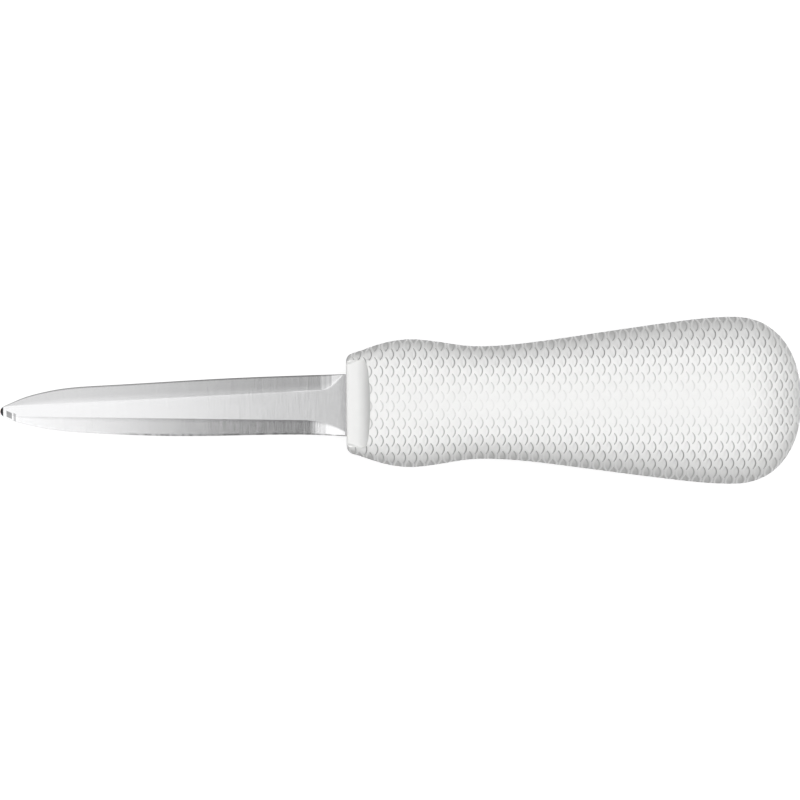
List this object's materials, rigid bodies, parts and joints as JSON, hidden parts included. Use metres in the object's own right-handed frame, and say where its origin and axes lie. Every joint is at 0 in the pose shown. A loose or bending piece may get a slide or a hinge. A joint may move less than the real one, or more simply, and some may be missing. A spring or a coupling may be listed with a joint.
{
  "type": "oyster knife",
  "caption": "Short ground steel blade in a thick, waisted, textured moulded handle, for prying oyster shells open.",
  "frame": {"origin": "on the surface the knife lies on, under the middle of its bounding box", "axes": "+X along the handle's axis from the tip to the butt, +Y across the blade's width, +Z square to the broad face"},
  "size_m": [0.184, 0.0384, 0.026],
  "materials": {
    "blade_steel": "fine satin on the flats, transverse grinding lines on the bevels",
    "core_plastic": "smooth white moulding, semi-gloss",
    "grip_plastic": "white moulding with rows of small lens-shaped hollows, satin"
  },
  "bodies": {
    "root": {"blade": "blade_steel", "handle_core": "core_plastic", "grip": "grip_plastic"}
  },
  "joints": []
}
